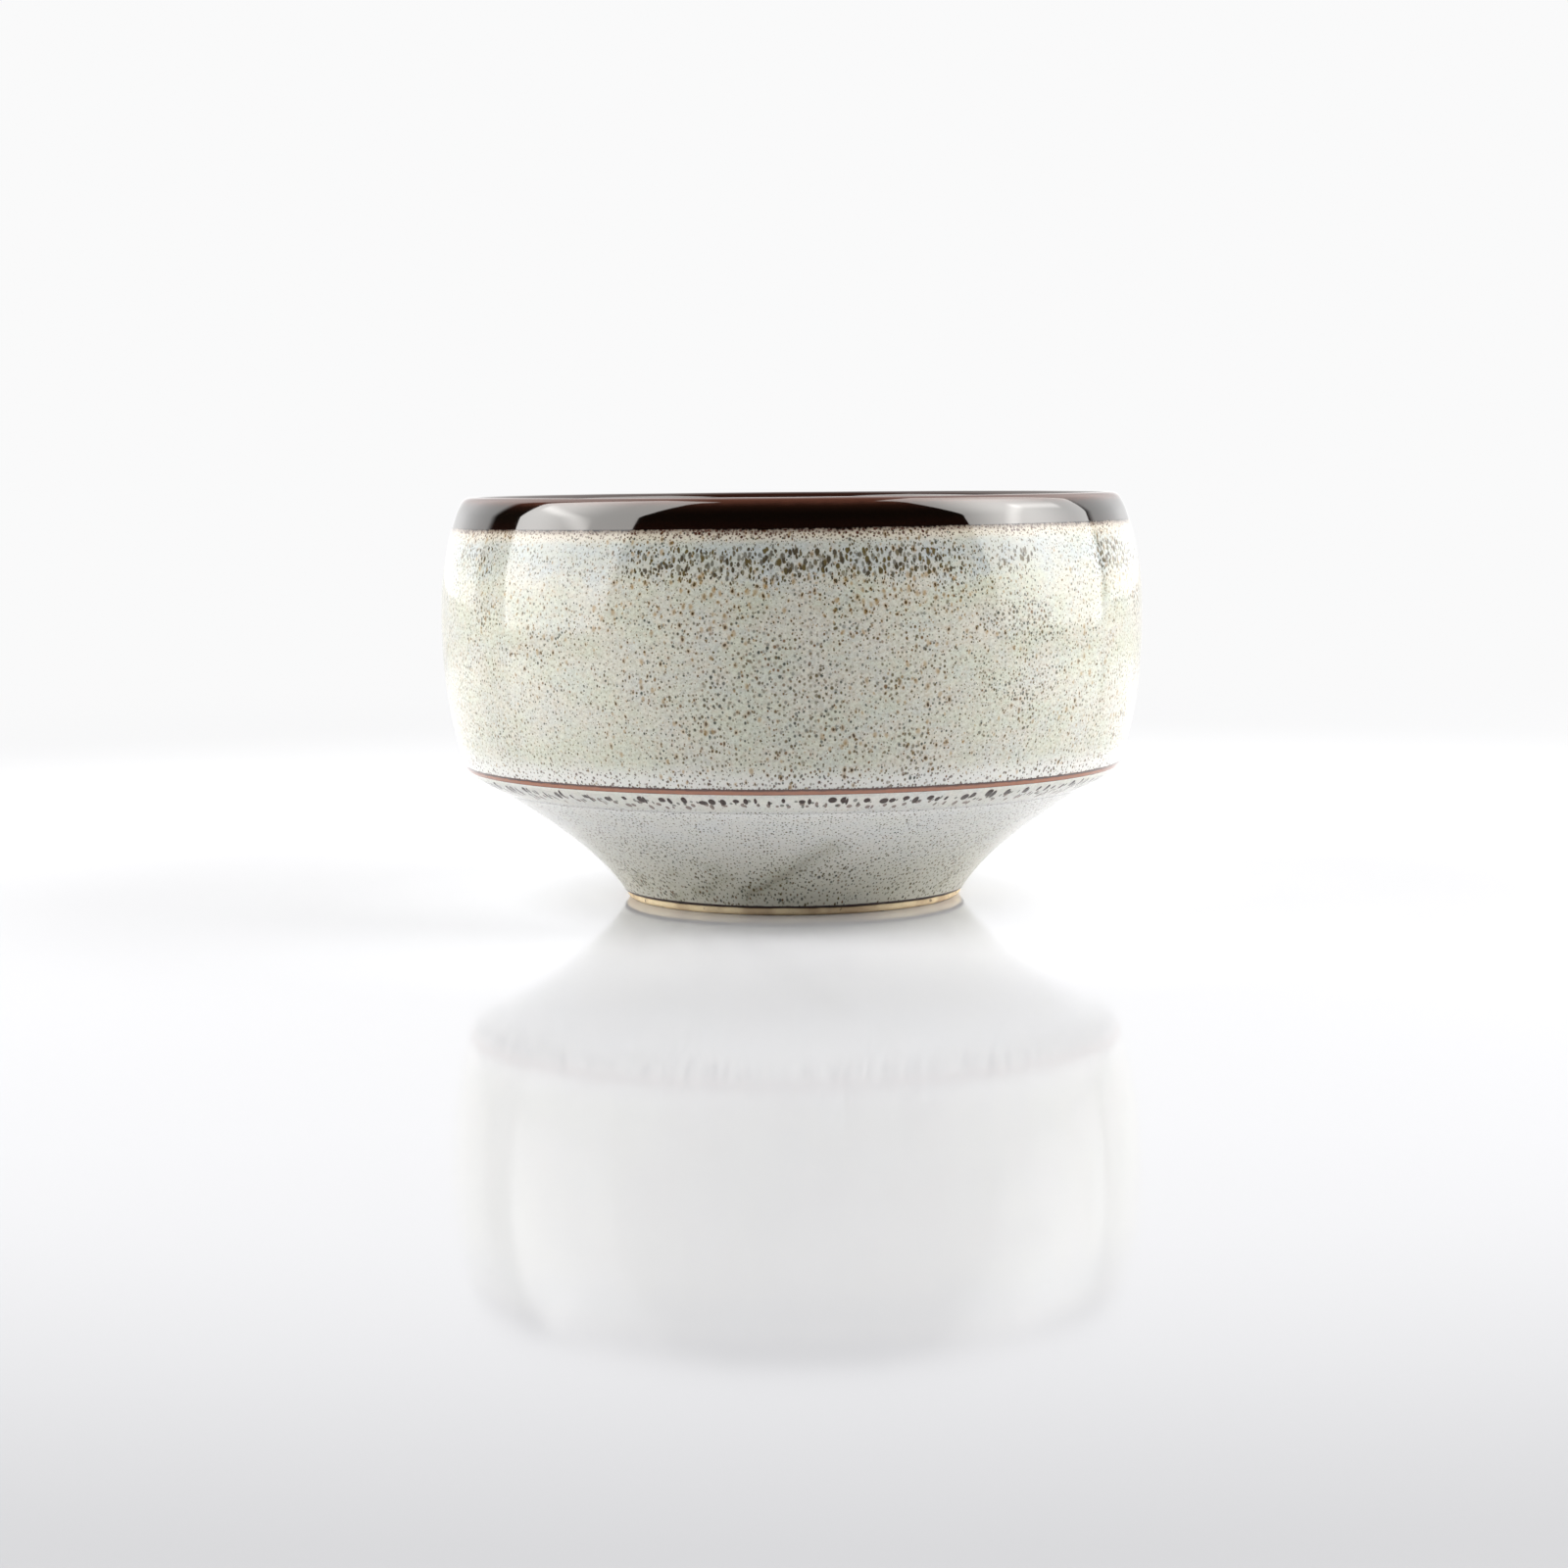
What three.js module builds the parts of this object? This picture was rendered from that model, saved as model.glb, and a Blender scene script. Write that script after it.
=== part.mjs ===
// Matcha bowl: one turned stoneware body and the glaze coats fused onto it.
// Millimetres, +Z up. The origin is the centre of the foot ring's resting face.
//
// Every solid is turned about Z with the same number of segments, and neighbours share their
// outline point for point, so they touch all over and never overlap.
import * as THREE from 'three';

// Driving dimensions of the finished, glazed bowl. A point is (radius, height).
const HEIGHT = 69;
const BELLY = new THREE.Vector2(60, 49);              // widest place on the drum wall
const RIDGE = new THREE.Vector2(56.1, 22.6);          // sharp edge between drum and foot cone
const STEP = new THREE.Vector2(51.6, 19.6);           // faint break just below the ridge
const GLAZE_FOOT = new THREE.Vector2(29.4, 1.5);      // lower edge of the outer glaze
const CONE_PULL = new THREE.Vector2(34.3, 9.3);       // handle of the cone's hollow curve
const LIP_START = new THREE.Vector2(57.24, 66);       // where the wall starts to roll into the lip
const LIP_PULL = new THREE.Vector2(56.88, 67.07);     // handle of that roll
const LIP_CREST_RADIUS = 54.7;
const LIP_ROUND = 1.75;
const LIP_ROUND_FROM = 32;                            // degrees up from level where it starts
const RIM_LINE_Z = 64.5;                              // dark rim glaze meets the pale wall glaze
const DRUM_POWER_ABOVE = 2.1;                         // how late the wall leans in above the belly
const DRUM_POWER_BELOW = 2.3;                         // and below it

// Inside. The pulls are the handles of the curve that bends the wall into the floor.
const INNER_BELLY = new THREE.Vector2(56.6, 50);
const INNER_BEND = new THREE.Vector2(53.9, 33);
const BEND_PULL_DOWN = new THREE.Vector2(52, 21);
const BEND_PULL_OUT = new THREE.Vector2(27, 8.2);
const FLOOR_EDGE = new THREE.Vector2(10, 8.2);        // flat middle of the floor

// Foot ring and the shallow well inside it
const REST_OUTER_RADIUS = 28.1;
const REST_INNER_RADIUS = 23.4;
const REST_BEVEL = 0.7;
const WELL_WALL_RADIUS = 22;
const WELL_ROOF_RADIUS = 20.4;
const WELL_DEPTH = 3.2;
const WELL_CROWN = 0.4;                               // extra depth at the well's centre

// Glaze depths
const FULL_COAT = 0.5;
const PALE_COAT = 0.3;                                // the pale coat's share of the full coat
const WELL_COAT = 0.35;
const FOOT_BARE = 0.6;                                // pale coat stops this far up from the edge
const RIDGE_BARE = 1.05;                              // and this far up the wall from the ridge

const SEGMENTS = 40;

// Outlines

function pointsAlong(curve, steps, from = 0, to = 1) {
  return Array.from({ length: steps + 1 }, (_, i) => {
    return curve.getPoint(THREE.MathUtils.lerp(from, to, i / steps));
  });
}

function drumPoint(z) {
  const above = z > BELLY.y;
  const reach = above ? LIP_START.y - BELLY.y : BELLY.y - RIDGE.y;
  const drop = BELLY.x - (above ? LIP_START.x : RIDGE.x);
  const power = above ? DRUM_POWER_ABOVE : DRUM_POWER_BELOW;
  return new THREE.Vector2(BELLY.x - drop * (Math.abs(z - BELLY.y) / reach) ** power, z);
}

function drumOutline(fromZ, toZ, steps) {
  return Array.from({ length: steps + 1 }, (_, i) => {
    return drumPoint(THREE.MathUtils.lerp(fromZ, toZ, i / steps));
  });
}

function footCone() {
  return new THREE.QuadraticBezierCurve(GLAZE_FOOT, CONE_PULL, STEP);
}

function lipArc() {
  const from = THREE.MathUtils.degToRad(LIP_ROUND_FROM);
  const centreZ = HEIGHT - LIP_ROUND;
  return new THREE.EllipseCurve(LIP_CREST_RADIUS, centreZ, LIP_ROUND, LIP_ROUND, from, Math.PI);
}

function lipRoll() {
  return new THREE.QuadraticBezierCurve(LIP_START, LIP_PULL, lipArc().getPoint(0));
}

function innerWall() {
  return new THREE.QuadraticBezierCurve(lipArc().getPoint(1), INNER_BELLY, INNER_BEND);
}

function innerBend() {
  return new THREE.CubicBezierCurve(INNER_BEND, BEND_PULL_DOWN, BEND_PULL_OUT, FLOOR_EDGE);
}

// The finished surface runs up the outside from the glaze's lower edge, over the lip and down
// the inside to the axis, in named stretches. Each one ends on the next one's first point.
function finishedStretches() {
  const cone = footCone();
  const paleFoot = FOOT_BARE / cone.getLength();
  const aboveRidge = RIDGE.y + RIDGE_BARE;
  return {
    footBand: pointsAlong(cone, 1, 0, paleFoot),
    cone: pointsAlong(cone, 5, paleFoot, 1),
    shoulder: [STEP, RIDGE],
    ridgeBand: [RIDGE, drumPoint(aboveRidge)],
    wall: drumOutline(aboveRidge, RIM_LINE_Z, 7),
    rim: [
      ...drumOutline(RIM_LINE_Z, LIP_START.y, 1),
      ...pointsAlong(lipRoll(), 2).slice(1),
      ...pointsAlong(lipArc(), 4).slice(1),
    ],
    inside: [...pointsAlong(innerWall(), 3), ...pointsAlong(innerBend(), 6).slice(1)],
    floor: [FLOOR_EDGE, new THREE.Vector2(0, FLOOR_EDGE.y)],
  };
}

// Each point moved square to its outline, into the clay, which lies left of the way along it.
function sink(outline, depth) {
  return outline.map((point, i) => {
    const before = outline[Math.max(i - 1, 0)];
    const after = outline[Math.min(i + 1, outline.length - 1)];
    const along = after.clone().sub(before).normalize();
    return new THREE.Vector2(point.x - along.y * depth, point.y + along.x * depth);
  });
}

// Where the pale coat lies, the dark coat under it stops short of the finished surface.
function layers() {
  const stretches = finishedStretches();
  const skin = Object.values(stretches).flatMap((points, i) => (i ? points.slice(1) : points));
  const heights = { skin, underPale: sink(skin, PALE_COAT), clay: sink(skin, FULL_COAT) };
  let start = 0;
  const cut = {};
  for (const [name, points] of Object.entries(stretches)) {
    const end = start + points.length;
    cut[name] = Object.fromEntries(
      Object.entries(heights).map(([layer, outline]) => [layer, outline.slice(start, end)]));
    start = end - 1;
  }
  return cut;
}

function wellRoof() {
  return [
    new THREE.Vector2(0, WELL_DEPTH + WELL_CROWN),
    new THREE.Vector2(WELL_ROOF_RADIUS / 2, WELL_DEPTH + WELL_CROWN * 0.75),
    new THREE.Vector2(WELL_ROOF_RADIUS, WELL_DEPTH),
  ];
}

// Bare clay from the edge of the well's roof, round the foot ring, to the outer glaze.
function footRing() {
  return [
    new THREE.Vector2(WELL_WALL_RADIUS, WELL_DEPTH - (WELL_WALL_RADIUS - WELL_ROOF_RADIUS) / 2),
    new THREE.Vector2(REST_INNER_RADIUS - REST_BEVEL, REST_BEVEL),
    new THREE.Vector2(REST_INNER_RADIUS, 0),
    new THREE.Vector2(REST_OUTER_RADIUS, 0),
    new THREE.Vector2(REST_OUTER_RADIUS + REST_BEVEL, REST_BEVEL),
  ];
}

// Solids

function turned(name, outline, material) {
  const closed = outline[0].x === 0 ? outline : [...outline, outline[0]];
  const mesh = new THREE.Mesh(new THREE.LatheGeometry(closed, SEGMENTS), material);
  mesh.name = name;
  mesh.rotation.x = Math.PI / 2;
  return mesh;
}

function glaze(color) {
  return new THREE.MeshStandardMaterial({ color, roughness: 0.12, metalness: 0 });
}

const bareClay = new THREE.MeshStandardMaterial({ color: 0xd0bba0, roughness: 0.85, metalness: 0 });
const darkGlaze = glaze(0x1c0b07);
const paleGlaze = glaze(0xc9c8bc);
const whiteGlaze = glaze(0xd9dbd8);

const layer = layers();
const outside = ['footBand', 'cone', 'shoulder', 'ridgeBand', 'wall'];
const paleStretches = ['cone', 'shoulder', 'wall'];

function clayBody() {
  const upAndOver = [...outside, 'rim', 'inside', 'floor'].flatMap((name) => layer[name].clay);
  return turned('clay_body', distinct([...wellRoof(), ...footRing(), ...upAndOver]), bareClay);
}

function linerGlaze() {
  const inside = distinct([...layer.inside.skin, ...layer.floor.skin]);
  const backing = distinct([...layer.inside.clay, ...layer.floor.clay]);
  return turned('liner_glaze', [...backing.toReversed(), ...inside], darkGlaze);
}

function rimGlaze() {
  return turned('rim_glaze', [...layer.rim.skin, ...layer.rim.clay.toReversed()], darkGlaze);
}

function baseGlaze() {
  const backing = distinct(outside.flatMap((name) => layer[name].clay));
  const face = outside.flatMap((name) => {
    return paleStretches.includes(name) ? layer[name].underPale : layer[name].skin;
  });
  return turned('base_glaze', [...distinct(face), ...backing.toReversed()], darkGlaze);
}

function paleCoat(name, stretch, material) {
  return turned(name, [...layer[stretch].skin, ...layer[stretch].underPale.toReversed()], material);
}

function wellGlaze() {
  const roof = wellRoof();
  const face = roof.map((point) => new THREE.Vector2(point.x, point.y - WELL_COAT));
  return turned('foot_well_glaze', [...face, ...roof.toReversed()], paleGlaze);
}

function distinct(outline) {
  return outline.filter((point, i) => i === 0 || point.distanceTo(outline[i - 1]) > 0.001);
}

const bowl = new THREE.Group();
bowl.add(clayBody(), linerGlaze(), rimGlaze(), baseGlaze());
bowl.add(paleCoat('wall_glaze', 'wall', paleGlaze));
bowl.add(paleCoat('shoulder_glaze', 'shoulder', whiteGlaze));
bowl.add(paleCoat('cone_glaze', 'cone', paleGlaze));
bowl.add(wellGlaze());

export default bowl;
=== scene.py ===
"""Matcha bowl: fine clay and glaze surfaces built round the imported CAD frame.

The bowl is turned, so each piece is one cross-section swept round Z, with the slight unevenness of
a hand-dipped glaze added to it. Lengths are in millimetres until a mesh is made.
"""
import math

import bpy
import numpy as np
from mathutils import Matrix, Vector


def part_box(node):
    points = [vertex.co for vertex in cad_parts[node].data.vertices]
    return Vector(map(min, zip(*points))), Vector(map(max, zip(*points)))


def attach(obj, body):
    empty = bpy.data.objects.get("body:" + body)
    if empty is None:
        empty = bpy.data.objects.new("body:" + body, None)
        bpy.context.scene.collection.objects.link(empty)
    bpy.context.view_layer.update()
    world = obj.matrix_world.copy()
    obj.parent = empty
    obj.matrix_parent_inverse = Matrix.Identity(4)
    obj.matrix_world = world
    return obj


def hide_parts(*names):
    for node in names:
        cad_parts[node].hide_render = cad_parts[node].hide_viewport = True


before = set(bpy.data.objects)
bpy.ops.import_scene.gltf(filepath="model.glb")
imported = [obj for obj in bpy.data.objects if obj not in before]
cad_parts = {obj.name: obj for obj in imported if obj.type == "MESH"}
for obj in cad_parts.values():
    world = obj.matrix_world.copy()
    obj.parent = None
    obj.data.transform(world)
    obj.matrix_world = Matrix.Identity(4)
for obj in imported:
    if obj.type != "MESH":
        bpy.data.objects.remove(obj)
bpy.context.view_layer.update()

MM = 0.001
TURN = 2 * math.pi
COLUMNS = 480


# ---------------------------------------------------------------- places from the frame

def box_mm(node):
    low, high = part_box(node)
    return low / MM, high / MM


def section(node):
    """A CAD node's points as rows of radius and height."""
    points = np.array([v.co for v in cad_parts[node].data.vertices]) / MM
    return np.stack([np.hypot(points[:, 0], points[:, 1]), points[:, 2]], 1)


def radii_at(node, height):
    """Smallest and largest radius of a CAD node's points at one height."""
    points = section(node)
    radii = points[np.abs(points[:, 1] - height) < 0.01, 0]
    return radii.min(), radii.max()


def outermost(node):
    points = section(node)
    return points[points[:, 0].argmax()]


def innermost(node):
    points = section(node)
    return points[points[:, 0].argmin()]


wall_low, wall_high = box_mm("wall_glaze")
base_low, _ = box_mm("base_glaze")
well_low, well_high = box_mm("foot_well_glaze")
liner_low, _ = box_mm("liner_glaze")

# Depths of the coats, and handles of the curves between the frame's places, as in the CAD
FULL_COAT = 0.5
PALE_COAT = 0.3
WELL_COAT = 0.35
LIP_ROUND = 1.75
LIP_ROUND_FROM = math.radians(32)
LIP_START_Z = 66.0
LIP_PULL = np.array([56.88, 67.07])
BELLY_Z = 49.0
DRUM_POWER_ABOVE = 2.1
DRUM_POWER_BELOW = 2.3
CONE_PULL = np.array([34.3, 9.3])
INNER_BELLY = np.array([56.6, 50.0])
INNER_BEND = np.array([53.9, 33.0])
REST_BEVEL = 0.7
WELL_WALL_RADIUS = 22.0

# Places in the cross-section, as (radius, height)
RIM_RUN = 0.3               # the dark glaze has run this far below its CAD edge
RIM_LINE_Z = wall_high.z - RIM_RUN
WALL_FOOT_Z = wall_low.z
BELLY = np.array([wall_high.x, BELLY_Z])
RIDGE = outermost("shoulder_glaze")
STEP = outermost("cone_glaze")
GLAZE_FOOT = np.array([radii_at("base_glaze", base_low.z)[1], base_low.z])
REST_INNER, REST_OUTER = radii_at("clay_body", 0)
FLOOR_EDGE = np.array([10.0, liner_low.z + FULL_COAT])
BEND_PULL_DOWN = np.array([52.0, 21.0])
BEND_PULL_OUT = np.array([27.0, FLOOR_EDGE[1]])
WELL_ROOF = np.array([well_high.x, well_low.z + WELL_COAT])
WELL_CENTRE_Z = well_high.z
LIP_START = np.array([radii_at("rim_glaze", LIP_START_Z)[1], LIP_START_Z])
LIP_CENTRE = innermost("rim_glaze") + np.array([LIP_ROUND, 0])
HEIGHT = LIP_CENTRE[1] + LIP_ROUND

# The rim line is where the bowl was dipped, so it lies in a plane that is slightly tilted.
RIM_LINE_TILT = 0.28        # height gained towards +X at the wall
FEATHER = 0.05              # the wall glaze's own mesh runs this far above the line, dark there


# ---------------------------------------------------------------- outlines

def drum_outline(heights):
    above = heights > BELLY[1]
    reach = np.where(above, LIP_START[1] - BELLY[1], BELLY[1] - RIDGE[1])
    drop = BELLY[0] - np.where(above, LIP_START[0], RIDGE[0])
    power = np.where(above, DRUM_POWER_ABOVE, DRUM_POWER_BELOW)
    return np.stack([BELLY[0] - drop * (np.abs(heights - BELLY[1]) / reach) ** power, heights], 1)


def bezier(*handles, steps):
    t = np.linspace(0, 1, steps + 1)[:, None]
    degree = len(handles) - 1
    return sum(
        math.comb(degree, k) * t**k * (1 - t) ** (degree - k) * handle
        for k, handle in enumerate(handles)
    )


def arc(centre, radius, start, end, steps):
    angle = np.linspace(start, end, steps + 1)
    return centre + radius * np.stack([np.cos(angle), np.sin(angle)], 1)


def inward(outline):
    """Unit normals into the clay, which lies to the left of the way along an outline."""
    along = np.gradient(outline, axis=0)
    along /= np.linalg.norm(along, axis=1)[:, None]
    return np.stack([-along[:, 1], along[:, 0]], 1)


def cone_outline(steps):
    return bezier(GLAZE_FOOT, CONE_PULL, STEP, steps=steps)


def lip_outline(steps):
    """From the top of the drum wall over the lip's crest to the inside."""
    start = arc(LIP_CENTRE, LIP_ROUND, LIP_ROUND_FROM, LIP_ROUND_FROM, 1)[0]
    roll = bezier(LIP_START, LIP_PULL, start, steps=steps // 3)
    return np.concatenate([roll[:-1], arc(LIP_CENTRE, LIP_ROUND, LIP_ROUND_FROM, math.pi, steps)])


def inside_outline(steps):
    """From the lip down the inside wall and across the floor, to just short of the axis."""
    wall = bezier(LIP_CENTRE - np.array([LIP_ROUND, 0]), INNER_BELLY, INNER_BEND, steps=steps)
    bend = bezier(INNER_BEND, BEND_PULL_DOWN, BEND_PULL_OUT, FLOOR_EDGE, steps=steps + steps // 2)
    return np.concatenate([wall, bend[1:], [[FLOOR_EDGE[0] / 2, FLOOR_EDGE[1]]]])


def ridge_outline(steps):
    """The ridge, rounded over, from the shoulder to the foot of the wall's pale coat."""
    above = drum_outline(np.array([WALL_FOOT_Z]))[0]
    to_step = (STEP - RIDGE) / np.linalg.norm(STEP - RIDGE)
    return bezier(RIDGE + to_step * (WALL_FOOT_Z - RIDGE[1]), RIDGE, above, steps=steps)


# ---------------------------------------------------------------- the glaze's unevenness

rng = np.random.default_rng(31)
SWELLS = [
    (waves, rng.uniform(-0.9, 0.9), rng.uniform(0, TURN), rng.uniform(0.5, 1))
    for waves in (1, 2, 3, 5, 7, 9, 12, 16, 21, 27)
]
SWELL_HEIGHT = 0.022
SWELL_FREE_RADIUS = 40      # nearer the axis than this the swells die out
THROWING_RING = 0.02        # height of the faint rings inside
SHOULDER_SWELL = 0.26


def swell(theta, height):
    """The slow swells, in mm, that throwing and dipping leave in the surface."""
    return SWELL_HEIGHT * sum(
        share * np.sin(waves * theta + lean * height * 0.3 + phase) / (1 + waves * 0.35)
        for waves, lean, phase, share in SWELLS
    )


def rim_line(theta):
    return RIM_LINE_Z + RIM_LINE_TILT * np.cos(theta)


# ---------------------------------------------------------------- meshes

THETA = np.arange(COLUMNS) / COLUMNS * TURN
BAKE_MARGIN = 0.006
SHARP_FROM = math.radians(50)


def is_pole(ring):
    return np.ndim(ring[0]) == 0 and ring[0] == 0


def ring_points(ring):
    """The points round a ring, in mm. A pole has only one."""
    radii, heights = ring
    if is_pole(ring):
        return [(0, 0, float(heights))]
    radii = np.broadcast_to(radii, COLUMNS)
    heights = np.broadcast_to(heights, COLUMNS)
    return list(zip(radii * np.cos(THETA), radii * np.sin(THETA), heights))


def bake_place(sector, sectors, across, up):
    """A place on the bake map, which is cut into sectors laid one above the other."""
    x = BAKE_MARGIN + across * (1 - 2 * BAKE_MARGIN)
    y = (sector + 4 * BAKE_MARGIN + up * (1 - 8 * BAKE_MARGIN)) / sectors
    return x, y


def swept(name, rings, seen, sectors):
    """A closed mesh from the rings round a cross-section, in order, with the clay on their left.

    A ring is (radii, heights), each a number or one value a column; a ring of radius 0 is a pole.
    seen gives each band between two rings its share of the bake map, whose sectors let a long
    thin surface fill a square.
    """
    points, starts = [], []
    for ring in rings:
        starts.append(len(points))
        points.extend(ring_points(ring))

    bands = len(rings) - 1 if is_pole(rings[0]) else len(rings)
    edges = np.concatenate([[0], np.cumsum(seen[:bands])]) / sum(seen[:bands])
    width = COLUMNS // sectors

    def corners(at, column):
        """A face's one or two corners on a ring, each with its place on the bake map."""
        ring = at % len(rings)
        sector, step = divmod(column, width)
        left, right = step / width, (step + 1) / width
        if is_pole(rings[ring]):
            return [(starts[ring], bake_place(sector, sectors, (left + right) / 2, edges[at]))]
        return [
            (starts[ring] + column, bake_place(sector, sectors, left, edges[at])),
            (starts[ring] + (column + 1) % COLUMNS, bake_place(sector, sectors, right, edges[at])),
        ]

    faces, uvs = [], []
    for band in range(bands):
        for column in range(COLUMNS):
            face = corners(band, column) + corners(band + 1, column)[::-1]
            faces.append([point for point, _ in face])
            uvs.extend(place for _, place in face)

    mesh = bpy.data.meshes.new(name)
    mesh.from_pydata((np.array(points) * MM).tolist(), [], faces)
    layer = mesh.uv_layers.new(name="OFBake")
    layer.data.foreach_set("uv", np.array(uvs, np.float32).ravel())
    mesh.polygons.foreach_set("use_smooth", [True] * len(faces))
    mesh.set_sharp_from_angle(angle=SHARP_FROM)
    piece = bpy.data.objects.new(name, mesh)
    bpy.context.scene.collection.objects.link(piece)
    return piece


def face_rings(outline, lift=lambda theta, share: 0.0):
    """Rings along a finished surface, raised by the swells and by lift, in mm.

    share, from 0 to 1, says how far along the outline a ring lies. The swells die out near the
    axis, where they would crowd into a star.
    """
    rings = []
    shares = np.linspace(0, 1, len(outline))
    for share, (radius, height), (nr, nz) in zip(shares, outline, inward(outline)):
        raised = swell(THETA, height) * min(1, radius / SWELL_FREE_RADIUS) ** 3 + lift(THETA, share)
        rings.append((radius - nr * raised, height - nz * raised))
    return rings


def back_rings(outline, depth, steps):
    """Rings along the back of a coat of that depth, the other way."""
    picks = np.linspace(len(outline) - 1, 0, steps + 1).round().astype(int)
    return [tuple(point) for point in (outline + inward(outline) * depth)[picks]]


def coat(name, face, back, sectors):
    """A coat's closed mesh. Its back, which nothing shows, gets little of the bake map."""
    seen = [1.0] * (len(face) - 1) + [0.3] * (len(back) + 1)
    return swept(name, face + back, seen, sectors)


def finish_piece(piece, node, material):
    piece.data.materials.append(material)
    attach(piece, "root")
    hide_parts(node)


# ---------------------------------------------------------------- node trees

def tone(red, green, blue):
    """A display colour, 0 to 255, as linear light."""
    def linear(v):
        v /= 255
        return v / 12.92 if v <= 0.04045 else ((v + 0.055) / 1.055) ** 2.4
    return (linear(red), linear(green), linear(blue), 1)


class Graph:
    """A node tree, with one short method for each kind of node it uses."""

    def __init__(self, tree, coordinates="Generated", scale=1.0, at=None):
        self.tree = tree
        place = at or self.node("ShaderNodeTexCoord").outputs[coordinates]
        self.place = self.vector("SCALE", place, scale=scale)
        self.x, self.y, self.z = self.node("ShaderNodeSeparateXYZ", self.place).outputs

    def put(self, socket, value):
        if isinstance(value, bpy.types.NodeSocket):
            self.tree.links.new(value, socket)
        else:
            socket.default_value = value

    def node(self, kind, *inputs, **settings):
        made = self.tree.nodes.new(kind)
        for name, value in settings.items():
            setattr(made, name, value)
        for socket, value in zip(made.inputs, inputs):
            if value is not None:
                self.put(socket, value)
        return made

    def math(self, operation, *values):
        return self.node("ShaderNodeMath", *values, operation=operation).outputs[0]

    def times(self, *factors):
        product = factors[0]
        for factor in factors[1:]:
            product = self.math("MULTIPLY", product, factor)
        return product

    def vector(self, operation, a, b=None, scale=None):
        made = self.node("ShaderNodeVectorMath", a, b, operation=operation)
        if scale is not None:
            self.put(made.inputs["Scale"], scale)
        single = operation in ("DOT_PRODUCT", "DISTANCE")
        return made.outputs["Value" if single else "Vector"]

    def blend(self, factor, under, over, how="MIX"):
        made = self.node("ShaderNodeMix", data_type="RGBA", blend_type=how)
        self.put(made.inputs[0], factor)
        self.put(made.inputs[6], under)
        self.put(made.inputs[7], over)
        return made.outputs[2]

    def fade(self, value, start, end, low=0.0, high=1.0):
        """low before start, high after end, a smooth step between. start may exceed end."""
        made = self.node("ShaderNodeMapRange", interpolation_type="SMOOTHSTEP")
        for socket, v in zip(made.inputs, (value, start, end, low, high)):
            self.put(socket, v)
        return made.outputs[0]

    def noise(self, size, shift=0.0, squeeze=(1, 1, 1), detail=2.0, rough=0.5, at=None):
        """Cloudy noise about 0.5. Where squeeze is below 1, it is drawn out along that axis."""
        spot = self.vector("ADD", at or self.place, (shift, shift * 0.7, shift * 1.3))
        made = self.node("ShaderNodeTexNoise", self.vector("MULTIPLY", spot, squeeze))
        self.put(made.inputs["Scale"], 1 / size)
        self.put(made.inputs["Detail"], detail)
        self.put(made.inputs["Roughness"], rough)
        return made.outputs["Fac"]

    def round_wall(self, radius):
        """The surface unrolled: millimetres round the bowl from its front, and height."""
        angle = self.math("ARCTAN2", self.x, self.math("MULTIPLY", self.y, -1))
        return self.node("ShaderNodeCombineXYZ", self.times(angle, radius), self.z).outputs[0]

    def from_above(self):
        """The surface as seen from above."""
        return self.node("ShaderNodeCombineXYZ", self.x, self.y).outputs[0]

    def specks(self, plane, cell, radius, shift=0.0, tall=1.0, soft=0.5, wobble=0.0):
        """Spots of about that radius, one in each cell of a plane, and two random numbers each."""
        spot = self.vector("ADD", plane, (shift, shift * 1.7, 0))
        spot = self.vector("MULTIPLY", spot, (1, 1 / tall, 0))
        if wobble:
            bend = self.node("ShaderNodeTexNoise", spot, noise_dimensions="2D")
            self.put(bend.inputs["Scale"], 1.3 / cell)
            centred = self.vector("SUBTRACT", bend.outputs["Color"], (0.5, 0.5, 0.5))
            spot = self.vector("ADD", spot, self.vector("SCALE", centred, scale=wobble))
        made = self.node("ShaderNodeTexVoronoi", spot, voronoi_dimensions="2D")
        self.put(made.inputs["Scale"], 1 / cell)
        distance = self.times(made.outputs["Distance"], cell)
        chance = self.node("ShaderNodeSeparateColor", made.outputs["Color"]).outputs
        reach = self.times(radius, self.math("MULTIPLY_ADD", chance[0], 0.8, 0.4))
        return self.fade(distance, reach, self.times(reach, 1 - soft)), chance[1], chance[2]

    def gap(self, place, start, end):
        """How far a place in a plane is from the line between two others."""
        along = (end[0] - start[0], end[1] - start[1], 0)
        off = self.vector("SUBTRACT", place, (*start, 0))
        share = self.times(self.vector("DOT_PRODUCT", off, along), 1 / math.hypot(*along) ** 2)
        share = self.node("ShaderNodeClamp", share).outputs[0]
        return self.vector("DISTANCE", off, self.vector("SCALE", along, scale=share))

    def row(self, along, offset, cell, half_wide, half_tall, scatter, shift=0.0):
        """Spots strung out along one line, in a band as wide as scatter."""
        made = self.node("ShaderNodeTexVoronoi", voronoi_dimensions="1D")
        self.put(made.inputs["W"], self.math("ADD", along, shift))
        self.put(made.inputs["Scale"], 1 / cell)
        chance = self.node("ShaderNodeSeparateColor", made.outputs["Color"]).outputs
        wide = self.math("MULTIPLY_ADD", chance[0], half_wide * 0.9, half_wide * 0.35)
        tall = self.math("MULTIPLY_ADD", chance[1], half_tall * 0.7, half_tall * 0.5)
        moved = self.math("MULTIPLY_ADD", chance[2], scatter, -scatter / 2)
        across = self.math("DIVIDE", self.times(made.outputs["Distance"], cell), wide)
        up = self.math("DIVIDE", self.math("ADD", offset, moved), tall)
        reach = self.math("SQRT", self.math("ADD", self.times(across, across), self.times(up, up)))
        return self.fade(reach, 1.1, 0.8)


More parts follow.
